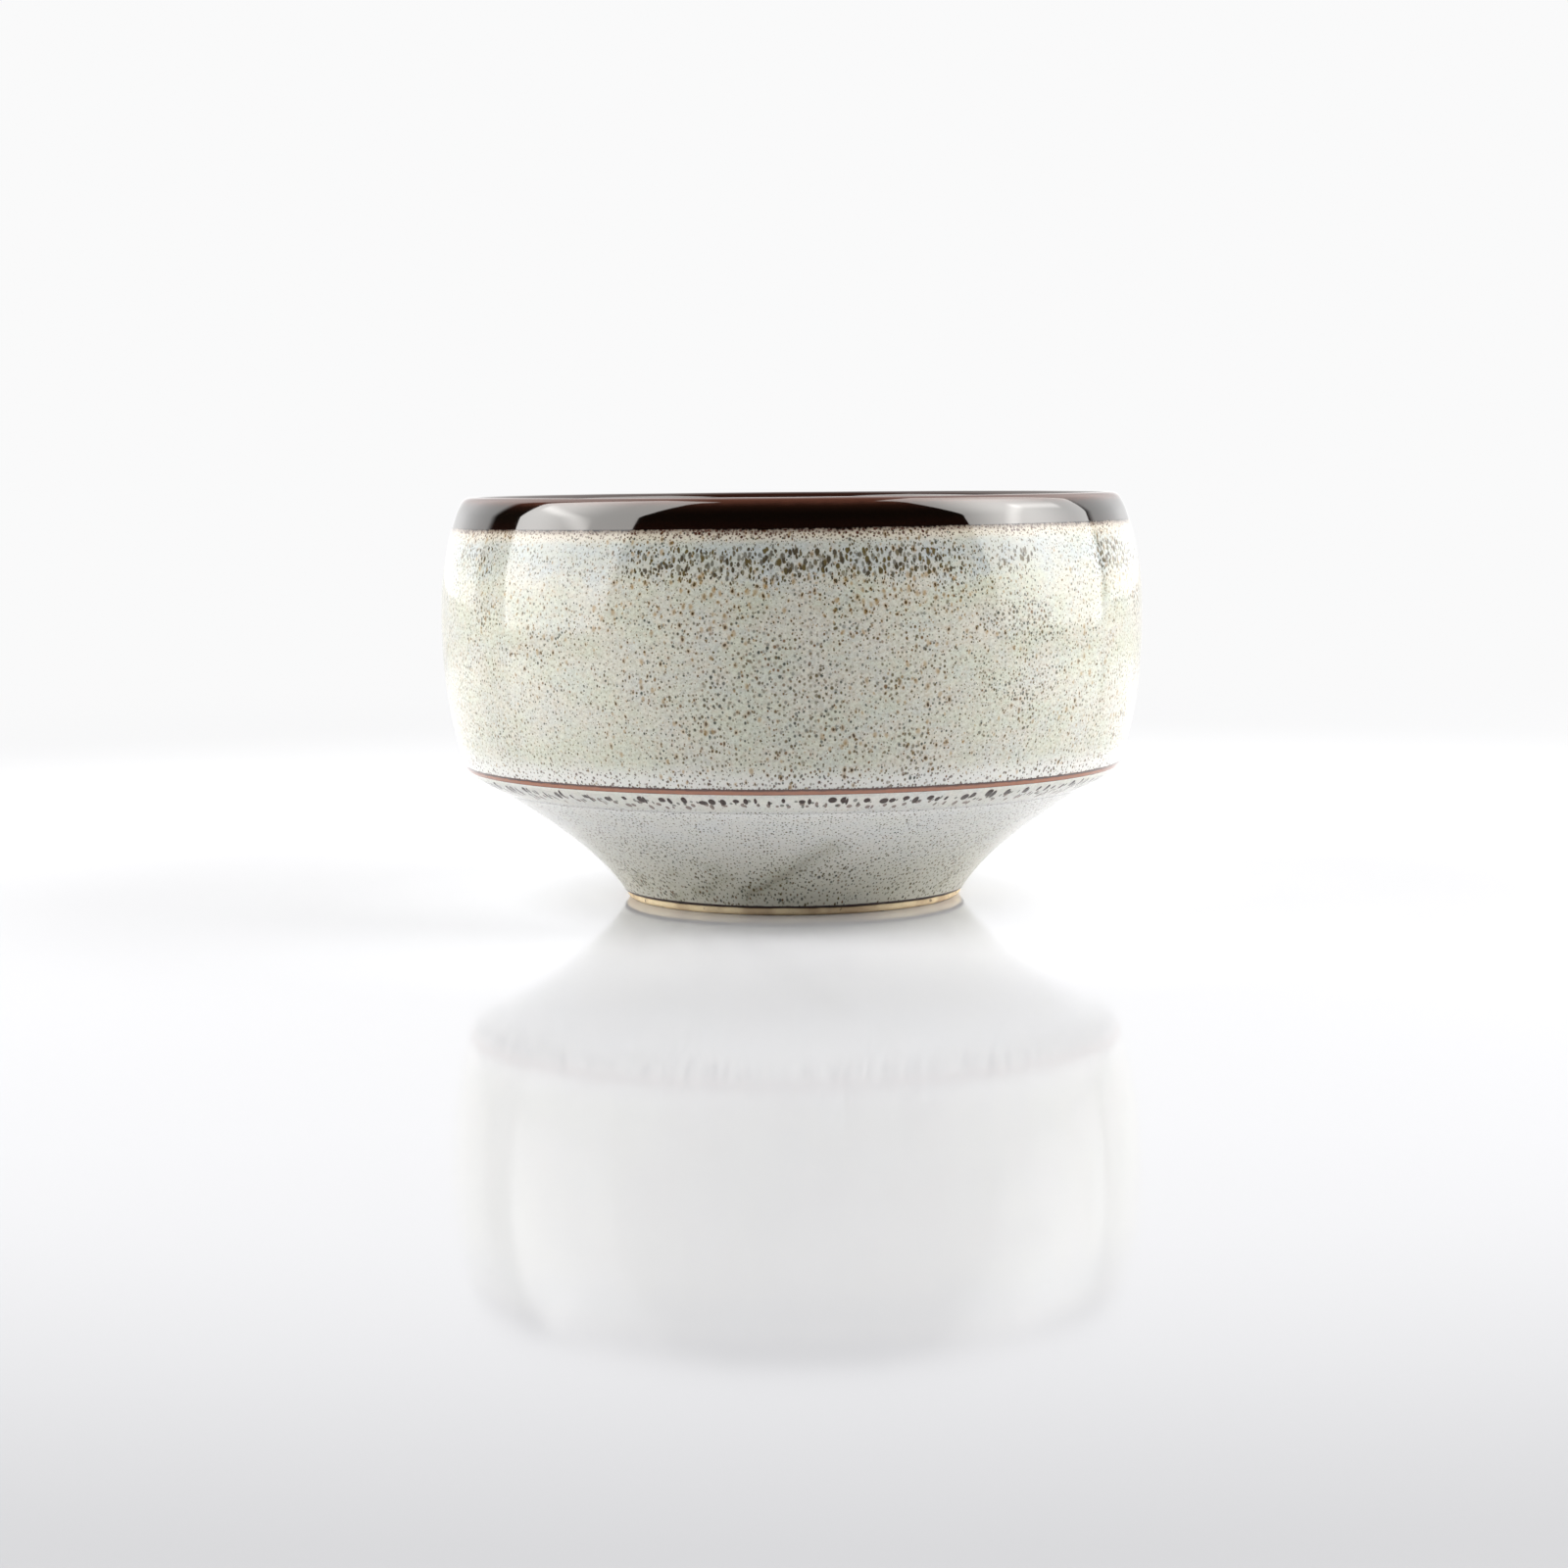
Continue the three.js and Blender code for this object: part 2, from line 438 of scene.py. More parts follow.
class Coating(Graph):
    """The node tree of one material, in millimetres."""

    def __init__(self, name):
        self.material = bpy.data.materials.new(name)
        self.material.use_nodes = True
        super().__init__(self.material.node_tree, "Object", 1 / MM)
        self.shader = self.tree.nodes["Principled BSDF"]

    def radius(self):
        return self.math("SQRT", self.math("ADD", self.times(self.x, self.x),
                                           self.times(self.y, self.y)))

    def finish(self, colour, roughness, bump, ior=1.5):
        self.put(self.shader.inputs["Base Color"], colour)
        self.put(self.shader.inputs["Roughness"], roughness)
        self.put(self.shader.inputs["IOR"], ior)
        made = self.node("ShaderNodeBump")
        self.put(made.inputs["Distance"], MM)
        self.put(made.inputs["Height"], bump)
        self.put(self.shader.inputs["Normal"], made.outputs[0])
        return self.material


# ---------------------------------------------------------------- materials

BLACK = tone(7, 3, 1)
DARK_RED = tone(34, 10, 6)
RUST = tone(74, 44, 34)
RUST_DARK = tone(62, 33, 24)
UMBER = tone(56, 41, 26)
SMEAR = tone(140, 137, 113)
LICHEN = tone(190, 184, 152)
PALE = tone(178, 175, 164)
PALE_GREEN = tone(173, 174, 159)
PALE_BLUE = tone(166, 171, 171)
STEEL = tone(138, 145, 146)
CREAM = tone(174, 164, 148)
WHITE_GLAZE = tone(202, 202, 201)
OCHRE = tone(140, 112, 66)
OLIVE = tone(80, 69, 43)
BROWN = tone(96, 69, 40)
SLATE = tone(58, 60, 54)
IRON = tone(62, 55, 44)
SPOT = tone(44, 30, 25)
CREST = tone(134, 84, 60)
CLAY = tone(240, 220, 182)
CLAY_TAN = tone(202, 176, 142)
CLAY_GRIT = tone(172, 142, 108)

DARK_IOR = 1.6              # much iron in the glaze raises it
DARK_MIRROR = (1, 0.97, 0.93, 1)    # and warms what the rim mirrors
PALE_IOR = 1.37             # the pale glaze is full of fine crystals and mirrors less
CLAY_IOR = 1.45


def below_rim_line(g):
    """Millimetres from the tilted rim line down to the surface point."""
    line = g.math("MULTIPLY_ADD", g.x, RIM_LINE_TILT / BELLY[0], RIM_LINE_Z)
    return g.math("SUBTRACT", line, g.z)


def pale_ground(g, blue_share):
    """The pale glaze between its specks: soft warm, green and blue-grey clouds, finely mottled.

    It is given back with its mottle, which the bump and the roughness follow.
    """
    clouds = g.noise(9, 3, (1, 1, 1.5), detail=5, rough=0.6)
    colour = g.blend(g.fade(clouds, 0.36, 0.64), PALE, PALE_GREEN)
    drift = g.noise(5, 21, (1, 1, 1.3), detail=5, rough=0.65)
    colour = g.blend(g.times(g.fade(drift, 0.42, 0.66), blue_share), colour, PALE_BLUE)
    warm = g.noise(1.1, 14, detail=2)
    colour = g.blend(g.fade(warm, 0.48, 0.7, 0, 0.45), colour, CREAM)
    mottle = g.noise(0.5, 5, detail=3, rough=0.7)
    grain = g.fade(mottle, 0.3, 0.7, 0.8, 1.12)
    shade = g.node("ShaderNodeCombineColor", grain, grain, grain).outputs[0]
    return g.blend(1.0, colour, shade, "MULTIPLY"), mottle


def add_fine_specks(g, colour, plane, cell, reach, shift, amount=0.9):
    """Small dots of slate, olive and brown, one in each cell."""
    dots, strength, hue = g.specks(plane, cell, reach, shift, tall=1.15, soft=0.6, wobble=0.12)
    ink = g.blend(g.fade(hue, 0.25, 0.5), SLATE, OLIVE)
    ink = g.blend(g.fade(hue, 0.8, 0.95), ink, BROWN)
    return g.blend(g.times(dots, g.fade(strength, 0, 1, 0.5, amount)), colour, ink)


def add_smudges(g, colour, plane, cell, reach, shift, amount):
    """Ochre smudges, most of them round a darker core."""
    smudge, _, strength = g.specks(plane, cell, reach, shift, tall=1.4, soft=0.75, wobble=0.5)
    colour = g.blend(g.times(smudge, amount), colour, OCHRE)
    core, _, _ = g.specks(plane, cell, g.times(reach, 0.5), shift, tall=1.4, wobble=0.5)
    return g.blend(g.times(core, g.fade(strength, 0.2, 0.8)), colour, UMBER)


def wall_richness(g):
    """How rich the pale glaze is, 0 to 1. It is richest at the front, and in a few other places."""
    front = g.vector("DOT_PRODUCT", g.place, (0.01 / BELLY[0], -1 / BELLY[0], 0))
    elsewhere = g.fade(g.noise(16, 2, detail=1), 0.48, 0.64, 0.3, 0.85)
    return g.math("MAXIMUM", g.fade(front, 0.8, 0.95), elsewhere)


def wall_ground(g, down, band, foot):
    """The pale ground, creamy at the rim line, steel blue under it and white at the foot."""
    colour, mottle = pale_ground(g, g.fade(band, 0, 1, 0.35, 0.9))
    slid = g.times(g.fade(down, 1.0, 2.4), g.fade(down, 9, 4), 0.4)
    colour = g.blend(slid, colour, STEEL)
    colour = g.blend(g.fade(down, 2.6, 0.8, 0, 0.7), colour, CREAM)
    return g.blend(g.times(foot, 0.6), colour, WHITE_GLAZE), mottle


def add_wall_specks(g, colour, plane, rich, foot):
    """Specks all over, thicker in drifts, with smudges, and brown dots along the foot."""
    lush = g.fade(rich, 0.2, 0.9, 0.6, 1.0)
    drifts = g.noise(7, 11, (1, 1, 1.3), detail=3)
    dense = g.fade(g.gap(plane, (-4, 38), (10, 32)), 22, 6, 0, 0.07)
    reach = g.math("ADD", g.fade(drifts, 0.35, 0.65, 0.17, 0.26), dense)
    colour = add_fine_specks(g, colour, plane, 0.8, reach, 2, 1.0)
    reach = g.times(lush, g.fade(drifts, 0.4, 0.66, 0.1, 0.36))
    colour = add_fine_specks(g, colour, plane, 1.3, reach, 31, 1.0)
    brown, _, _ = g.specks(plane, 1.2, g.times(foot, 0.3), 51, soft=0.45, wobble=0.3)
    colour = g.blend(g.times(brown, 0.75), colour, RUST_DARK)
    smudges = g.noise(9, 31, (1, 1, 1.2), detail=2)
    reach = g.times(lush, g.fade(smudges, 0.38, 0.6, 0.12, 0.54))
    return add_smudges(g, colour, plane, 1.7, reach, 7, 0.6)


def add_gatherings(g, colour, plane):
    """Two places at the right where the specks have gathered."""
    upper = g.fade(g.gap(plane, (35, 50), (43, 49)), 5.5, 1)
    lower = g.fade(g.gap(plane, (32, 40), (42, 38)), 5, 1, 0, 0.8)
    reach = g.times(g.math("MAXIMUM", upper, lower), 0.33)
    return add_fine_specks(g, colour, plane, 0.75, reach, 61, 1.0)


def add_streaks(g, colour, plane, down, band, rich):
    """Under the rim it has slid over the dark glaze, in long dark specks above ochre ones."""
    ochre = g.times(g.fade(down, 5, 8), g.fade(down, 18, 11), rich, 0.5)
    colour = add_smudges(g, colour, plane, 1.6, ochre, 17, 0.7)
    run = g.times(band, rich)
    large, hue, _ = g.specks(plane, 1.7, g.times(run, 0.33), 13, tall=1.4, soft=0.45, wobble=0.5)
    colour = g.blend(g.times(large, g.fade(hue, 0.4, 0.7)), colour, IRON)
    for cell, shift in ((1.0, 3), (0.85, 43)):
        streaks, strength, hue = g.specks(plane, cell, g.times(run, cell * 0.42), shift, tall=1.7,
                                          soft=0.45, wobble=0.35)
        ink = g.blend(g.fade(hue, 0.2, 0.7), IRON, OLIVE)
        colour = g.blend(g.times(streaks, g.fade(strength, 0, 0.7, 0.6, 1.0)), colour, ink)
    return colour


def add_wall_edges(g, colour, plane, down, rich):
    """Brown dots crowd against the rim line, where the dark glaze feathers into the pale one.

    The edge along the ridge is the same, but thinner.
    """
    crowd = g.times(g.fade(down, 2.9, 0.6), g.math("MULTIPLY_ADD", rich, 0.6, 0.4), 0.36)
    dots, strength, _ = g.specks(plane, 0.58, crowd, 8, soft=0.6, wobble=0.2)
    colour = g.blend(g.times(dots, g.fade(strength, 0, 1, 0.6, 1)), colour, RUST_DARK)
    teeth = g.noise(0.4, 4, (1, 1, 0.5), detail=2)
    wander = g.noise(6, 9, detail=2)
    ragged = g.math("MULTIPLY_ADD", teeth, 0.9, g.math("MULTIPLY_ADD", wander, 0.6, -0.8))
    edge = g.math("ADD", down, ragged)
    colour = g.blend(g.fade(edge, 1.0, 0.1, 0, 0.6), colour, RUST_DARK)
    colour = g.blend(g.fade(edge, 0.3, -0.15), colour, BLACK)
    fringe = g.math("ADD", g.math("SUBTRACT", g.z, WALL_FOOT_Z),
                    g.math("MULTIPLY_ADD", teeth, 0.9, -0.45))
    return g.blend(g.fade(fringe, 0.16, -0.1, 0, 0.9), colour, RUST_DARK)


def wall_material():
    g = Coating("wall_glaze")
    plane = g.round_wall(BELLY[0])
    down = below_rim_line(g)
    rich = wall_richness(g)
    band = g.times(g.fade(down, 1.6, 3.6), g.fade(down, 10.5, 6.0))
    foot = g.fade(g.z, WALL_FOOT_Z + 4.5, WALL_FOOT_Z + 0.8)
    colour, mottle = wall_ground(g, down, band, foot)
    colour = add_wall_specks(g, colour, plane, rich, foot)
    colour = add_gatherings(g, colour, plane)
    colour = add_streaks(g, colour, plane, down, band, rich)
    colour = add_wall_edges(g, colour, plane, down, rich)
    bump = g.math("MULTIPLY_ADD", mottle, 0.004, g.times(g.noise(2.2, 1), 0.006))
    return g.finish(colour, g.fade(mottle, 0.3, 0.7, 0.05, 0.09), bump, ior=PALE_IOR)


def shoulder_material():
    g = Coating("shoulder_glaze")
    plane = g.from_above()
    around = g.node("ShaderNodeSeparateXYZ", g.round_wall(RIDGE[0])).outputs[0]
    colour, mottle = pale_ground(g, 0.5)
    under = g.math("SUBTRACT", RIDGE[1], g.z)
    colour = g.blend(0.4, colour, WHITE_GLAZE)
    reach = g.fade(under, 1.4, 3.0, 0.05, 0.17)
    colour = add_fine_specks(g, colour, plane, 0.85, reach, 12, 0.7)

    # A row of large dark spots just under the ridge, over smaller slate and rusty ones
    second = g.row(around, g.math("SUBTRACT", under, 1.9), 1.6, 0.5, 0.42, 1.0, 40)
    colour = g.blend(g.times(second, 0.75), colour, RUST)
    small = g.row(around, g.math("SUBTRACT", under, 1.4), 1.3, 0.32, 0.3, 1.1, 11)
    colour = g.blend(g.times(small, 0.75), colour, SLATE)
    first = g.row(around, g.math("SUBTRACT", under, 1.05), 2.1, 0.66, 0.6, 0.5)
    colour = g.blend(first, colour, SPOT)
    bump = g.math("MULTIPLY_ADD", mottle, 0.004, g.times(first, -0.01))
    return g.finish(colour, g.fade(mottle, 0.3, 0.7, 0.05, 0.09), bump, ior=PALE_IOR)


def cone_ground(g, low):
    """The pale ground, whiter at the top, a little green below, with a faint painted shade line at
    the step.
    """
    colour, mottle = pale_ground(g, 0.7)
    colour = g.blend(0.62, colour, WHITE_GLAZE)
    top = g.fade(g.z, STEP[1] - 1.6, STEP[1] - 0.5)
    colour = g.blend(g.times(top, 0.4), colour, WHITE_GLAZE)
    # Painted shade: a faint slate line along the step, where the surface turns in, stands in for its
    # shade
    painted_crease_shade = g.fade(g.math("ABSOLUTE", g.math("SUBTRACT", g.z, STEP[1] - 0.25)), 0.3, 0.05)
    colour = g.blend(g.times(painted_crease_shade, 0.28), colour, SLATE)
    return g.blend(g.times(low, 0.35), colour, LICHEN), mottle


def cone_smear(g):
    """Noise drawn out up to the right, the way the wet glaze was wiped."""
    climbing = g.math("ADD", g.x, g.z)
    across = g.math("SUBTRACT", g.x, g.z)
    slant = g.node("ShaderNodeCombineXYZ", g.times(climbing, 0.3), g.times(across, 0.9), g.y)
    return g.noise(7, 33, detail=4, at=slant.outputs[0])


def drag_mark(g, smear):
    """Distance from the unsteady line at the front along which the wet glaze was dragged."""
    upright = g.node("ShaderNodeCombineXYZ", g.x, g.z).outputs[0]
    shaken = g.vector("SCALE", g.node("ShaderNodeCombineXYZ", smear, smear).outputs[0], scale=5)
    return g.gap(g.vector("ADD", upright, shaken), (-6.0, 5.5), (9.0, 15.5))


def add_cone_specks(g, colour, plane, low, stroke):
    """Specks all over, and larger ones in patches and where the glaze was wiped."""
    drifts = g.noise(6, 2, detail=3)
    reach = g.math("MULTIPLY_ADD", low, 0.04, g.fade(drifts, 0.35, 0.65, 0.16, 0.22))
    colour = add_fine_specks(g, colour, plane, 0.6, reach, 6, 1.0)
    patches = g.math("MAXIMUM", g.fade(drifts, 0.5, 0.66), g.times(stroke, 0.8))
    reach = g.times(patches, g.fade(low, 0, 1, 0.4, 1), 0.36)
    return add_fine_specks(g, colour, plane, 1.05, reach, 19, 1.0)


def cone_material():
    g = Coating("cone_glaze")
    low = g.fade(g.z, STEP[1] - 3, GLAZE_FOOT[1] + 2)
    colour, mottle = cone_ground(g, low)
    smear = cone_smear(g)
    stroke = g.fade(smear, 0.54, 0.68)
    colour = g.blend(g.times(stroke, low, 0.35), colour, SMEAR)
    mark = drag_mark(g, smear)
    at_front = g.fade(g.y, -5, -15)
    colour = g.blend(g.times(g.fade(mark, 3.0, 0.3), at_front, 0.3), colour, SMEAR)
    colour = g.blend(g.times(g.fade(mark, 1.0, 0.1), at_front, low, 0.3), colour, OLIVE)
    stroke = g.math("MAXIMUM", stroke, g.times(g.fade(mark, 5.0, 1.5), at_front))
    colour = add_cone_specks(g, colour, g.from_above(), low, stroke)
    foot = g.math("SUBTRACT", g.z, GLAZE_FOOT[1])
    fringe = g.math("MULTIPLY_ADD", g.noise(0.6, 4), 0.8, g.math("SUBTRACT", foot, 0.4))
    colour = g.blend(g.fade(fringe, 0.27, 0.03), colour, DARK_RED)
    bump = g.math("MULTIPLY_ADD", mottle, 0.004, g.times(g.noise(2.2, 1), 0.006))
    return g.finish(colour, g.fade(mottle, 0.3, 0.7, 0.06, 0.11), bump, ior=PALE_IOR)


def rim_material():
    """Near black, worn to a rusty brown where the glaze ran thin over the outside of the lip."""
    g = Coating("rim_glaze")
    wear = g.noise(2.2, 1, (1, 1, 0.5), detail=4)
    height = g.math("MULTIPLY_ADD", g.math("SUBTRACT", wear, 0.5), 0.5, g.z)
    outside = g.fade(g.radius(), LIP_CENTRE[0] - 0.3, LIP_CENTRE[0] + 0.5)
    thin = g.times(g.fade(height, HEIGHT - 1.5, HEIGHT - 0.25), outside)
    low = g.fade(below_rim_line(g), -1.8, -0.2, 0, 0.2)
    colour = g.blend(low, BLACK, DARK_RED)
    colour = g.blend(g.fade(g.z, LIP_CENTRE[1] - 0.8, HEIGHT, 0, 0.4), colour, RUST_DARK)
    colour = g.blend(thin, colour, RUST)
    g.put(g.shader.inputs["Specular Tint"], DARK_MIRROR)
    bump = g.times(g.noise(4, 3), 0.004)
    return g.finish(colour, g.fade(wear, 0.3, 0.7, 0.03, 0.05), bump, ior=DARK_IOR)


def liner_material():
    g = Coating("liner_glaze")
    streaks = g.noise(2.2, 5, (1, 1, 0.12), detail=5, rough=0.6)
    height = g.math("MULTIPLY_ADD", streaks, 6, g.z)
    colour = g.blend(g.fade(height, HEIGHT - 5, HEIGHT + 3, 0, 0.6), BLACK, RUST_DARK)
    clouds = g.noise(16, 8, detail=3)
    colour = g.blend(g.fade(clouds, 0.35, 0.8, 0, 0.45), colour, DARK_RED)
    bump = g.times(g.noise(6, 3), 0.004)
    return g.finish(colour, g.fade(clouds, 0.3, 0.7, 0.04, 0.08), bump, ior=DARK_IOR)


def base_material():
    """The dark coat where it shows outside: red-brown on the ridge between darker edges."""
    g = Coating("base_glaze")
    middle = RIDGE[1] + 0.45
    wear = g.noise(1.2, 2, detail=3)
    off = g.math("ABSOLUTE", g.math("SUBTRACT", g.z, middle))
    crest = g.math("MULTIPLY_ADD", wear, 0.3, g.math("SUBTRACT", off, 0.15))
    colour = g.blend(g.fade(crest, 0.42, 0.15), RUST_DARK, CREST)
    colour = g.blend(g.fade(g.z, RIDGE[1] - 4, RIDGE[1] - 8), colour, DARK_RED)
    bump = g.times(wear, 0.01)
    return g.finish(colour, g.fade(wear, 0.3, 0.7, 0.1, 0.2), bump, ior=DARK_IOR)


def clay_material():
    g = Coating("bare_clay")
    clouds = g.noise(5, 1, detail=4)
    grit = g.noise(0.35, 3, detail=3, rough=0.7)
    colour = g.blend(g.fade(clouds, 0.35, 0.65), CLAY, CLAY_TAN)
    colour = g.blend(g.fade(grit, 0.55, 0.8, 0, 0.5), colour, CLAY_GRIT)
    iron = g.noise(0.8, 4, detail=0)
    colour = g.blend(g.fade(iron, 0.76, 0.8, 0, 0.6), colour, RUST_DARK)
    run = g.math("MULTIPLY_ADD", clouds, 0.2, g.z)
    stain = g.fade(run, GLAZE_FOOT[1] - 0.25, GLAZE_FOOT[1] - 0.05)
    outside = g.fade(g.radius(), REST_INNER, REST_OUTER)
    colour = g.blend(g.times(stain, outside), colour, DARK_RED)
    turning = g.node("ShaderNodeTexNoise", noise_dimensions="1D")
    g.put(turning.inputs["W"], g.radius())
    g.put(turning.inputs["Scale"], 2.2)
    bump = g.math("MULTIPLY_ADD", turning.outputs["Fac"], 0.05, g.times(grit, 0.04))
    return g.finish(colour, g.fade(grit, 0.3, 0.7, 0.75, 0.95), bump, ior=CLAY_IOR)


def well_material():
    g = Coating("foot_well_glaze")
    plane = g.from_above()
    colour, mottle = pale_ground(g, 0.5)
    colour = add_fine_specks(g, colour, plane, 0.8, 0.16, 6)
    colour = add_smudges(g, colour, plane, 2.6, 0.4, 9, 0.6)
    ragged = g.math("MULTIPLY_ADD", g.noise(1.2, 1, detail=3), 1.6, g.radius())
    edge = g.fade(ragged, WELL_ROOF[0] - 0.2, WELL_ROOF[0] + 0.5)
    colour = g.blend(edge, colour, DARK_RED)
    bump = g.times(mottle, 0.004)
    return g.finish(colour, g.fade(mottle, 0.3, 0.7, 0.07, 0.12), bump, ior=PALE_IOR)


# ---------------------------------------------------------------- pieces

RIDGE_STEPS = 24
BAND_START = 12             # the ring of the rounded ridge where the pale coat below it ends


def make_wall():
    """The pale coat on the drum. Its upper edge follows the tilted rim line."""
    top = rim_line(THETA) + FEATHER
    face, back = [], []
    for share in np.linspace(0, 1, 91):
        heights = WALL_FOOT_Z + share * (top - WALL_FOOT_Z)
        face.append((drum_outline(heights)[:, 0] + swell(THETA, heights), heights))
    for share in np.linspace(1, 0, 14):
        heights = WALL_FOOT_Z + share * (top - WALL_FOOT_Z)
        back.append((drum_outline(heights)[:, 0] - PALE_COAT, heights))
    piece = coat("wall_glaze_surface", face, back, 3)
    finish_piece(piece, "wall_glaze", wall_material())


def make_rim():
    bottom = rim_line(THETA) + FEATHER
    face = []
    for share in np.linspace(0, 1, 8)[:-1]:
        heights = bottom + share * (LIP_START_Z - bottom)
        face.append((drum_outline(heights)[:, 0] + swell(THETA, heights), heights))
    lip = lip_outline(30)
    face += face_rings(lip)
    back = back_rings(lip, FULL_COAT, 12)
    back.append((drum_outline(bottom)[:, 0] - FULL_COAT, bottom))
    piece = coat("rim_glaze_surface", face, back, 6)
    finish_piece(piece, "rim_glaze", rim_material())


def make_liner():
    outline = inside_outline(30)
    rows = (outline + inward(outline) * FULL_COAT)[::-3]
    back = [(0, FLOOR_EDGE[1] - FULL_COAT)] + [tuple(row) for row in rows]
    face = face_rings(outline, lambda theta, share: THROWING_RING * np.sin(share * 34))
    face.append((0, FLOOR_EDGE[1]))
    seen = [0.3] * len(back) + [1.0] * (len(face) - 1)
    piece = swept("liner_glaze_surface", back + face, seen, 3)
    finish_piece(piece, "liner_glaze", liner_material())


def make_base():
    """The dark coat outside. It reaches the finished surface at the foot and on the ridge."""
    cone = cone_outline(60)
    foot_band = cone[:2]
    under_cone = (cone + inward(cone) * PALE_COAT)[4::8]
    band = ridge_outline(RIDGE_STEPS)[BAND_START:]
    under_wall = drum_outline(np.linspace(WALL_FOOT_Z, RIM_LINE_Z, 14))
    under_wall = under_wall + inward(under_wall) * PALE_COAT
    face = np.concatenate([foot_band, under_cone, band, under_wall])
    clay_cone = (cone + inward(cone) * FULL_COAT)[::8]
    clay_wall = under_wall + inward(under_wall) * (FULL_COAT - PALE_COAT)
    back = np.concatenate([clay_cone, clay_wall])[::-1]
    hidden = 0.1
    seen = [1.0] + [hidden] * (len(under_cone) + 1) + [1.0] * (len(band) - 1)
    seen += [hidden] * (len(under_wall) + len(back) + 1)
    piece = swept("base_glaze_surface", [tuple(row) for row in np.concatenate([face, back])],
                  seen, 8)
    finish_piece(piece, "base_glaze", base_material())


def make_shoulder():
    """The band under the ridge swells out a little between the ridge and the step."""
    ridge = ridge_outline(RIDGE_STEPS)
    outline = np.concatenate([bezier(STEP, ridge[0], steps=24)[:-1], ridge[:BAND_START + 1]])
    face = face_rings(outline, lambda theta, share: SHOULDER_SWELL * math.sin(math.pi * share) ** 0.8)
    piece = coat("shoulder_glaze_surface", face, back_rings(outline, PALE_COAT, 5), 8)
    finish_piece(piece, "shoulder_glaze", shoulder_material())


def make_cone():
    outline = cone_outline(70)[1:]
    piece = coat("cone_glaze_surface", face_rings(outline), back_rings(outline, PALE_COAT, 12), 3)
    finish_piece(piece, "cone_glaze", cone_material())


def foot_outline():
    """Bare clay from the axis of the well, round the foot ring, to the outer glaze."""
    roof = bezier(np.array([0, WELL_CENTRE_Z]), np.array([WELL_ROOF[0] / 2, WELL_CENTRE_Z]),
                  WELL_ROOF, steps=10)
    inner = np.array([REST_INNER - REST_BEVEL, REST_BEVEL])
    side_pull = np.array([WELL_WALL_RADIUS, WELL_ROOF[1] - 0.8])
    side = bezier(WELL_ROOF, side_pull, inner, steps=12)
    inner_round = bezier(inner, np.array([REST_INNER - 0.2, 0]), np.array([REST_INNER + 0.5, 0]),
                         steps=6)
    outer = np.array([REST_OUTER + REST_BEVEL, REST_BEVEL])
    outer_round = bezier(np.array([REST_OUTER - 0.5, 0]), np.array([REST_OUTER + 0.2, 0]), outer,
                         steps=6)
    return np.concatenate([roof[1:], side[1:], inner_round[1:], outer_round, [GLAZE_FOOT]])


def make_clay():
    """The clay body. All of it but the foot ring lies under glaze."""
    foot = foot_outline()
    cone = cone_outline(40)
    drum = drum_outline(np.linspace(WALL_FOOT_Z, LIP_START_Z - 0.5, 14))
    covered = [cone, drum, lip_outline(9), inside_outline(10)]
    sunk = np.concatenate([(part + inward(part) * FULL_COAT)[::2] for part in covered])
    sunk = np.concatenate([sunk, [[FLOOR_EDGE[0] / 2, FLOOR_EDGE[1] - FULL_COAT]]])
    rows = [tuple(row) for row in np.concatenate([foot[:-1], sunk])]
    rings = [(0, WELL_CENTRE_Z), *rows, (0, FLOOR_EDGE[1] - FULL_COAT)]
    seen = [1.0] * len(foot) + [0.1] * (len(rings) - len(foot))
    piece = swept("clay_body_surface", rings, seen, 3)
    finish_piece(piece, "clay_body", clay_material())


def make_well():
    face = bezier(np.array([0, WELL_CENTRE_Z]), np.array([WELL_ROOF[0] / 2, WELL_CENTRE_Z]),
                  WELL_ROOF, steps=24)
    back = face[::-4][:-1] - np.array([0, 0.02])
    face = face - np.array([0, WELL_COAT])
    rings = [(0, face[0, 1]), *map(tuple, face[1:]), *map(tuple, back), (0, WELL_CENTRE_Z)]
    seen = [1.0] * 24 + [0.3] * (len(rings) - 25)
    piece = swept("foot_well_glaze_surface", rings, seen, 3)
    finish_piece(piece, "foot_well_glaze", well_material())


make_clay()
make_liner()
make_rim()
make_base()
make_wall()
make_shoulder()
make_cone()
make_well()


# ---------------------------------------------------------------- stage, light and camera

BACKGROUND = (0.955, 0.955, 0.957, 1)
FLOOR_HALF = 6.0            # metres
FLOOR_IOR = 1.26
FLOOR_ROUGHNESS = 0.07
FLOOR_SEEN = tone(171, 171, 173)
FLOOR_PAINTED_LIGHT_BY_FOOT = tone(209, 209, 212)     # painted light: the floor is lighter round the foot, lifting the bowl's contact shadow
FLOOR_BOUNCE = tone(223, 223, 224)      # an overexposed floor lights the bowl more than it shows


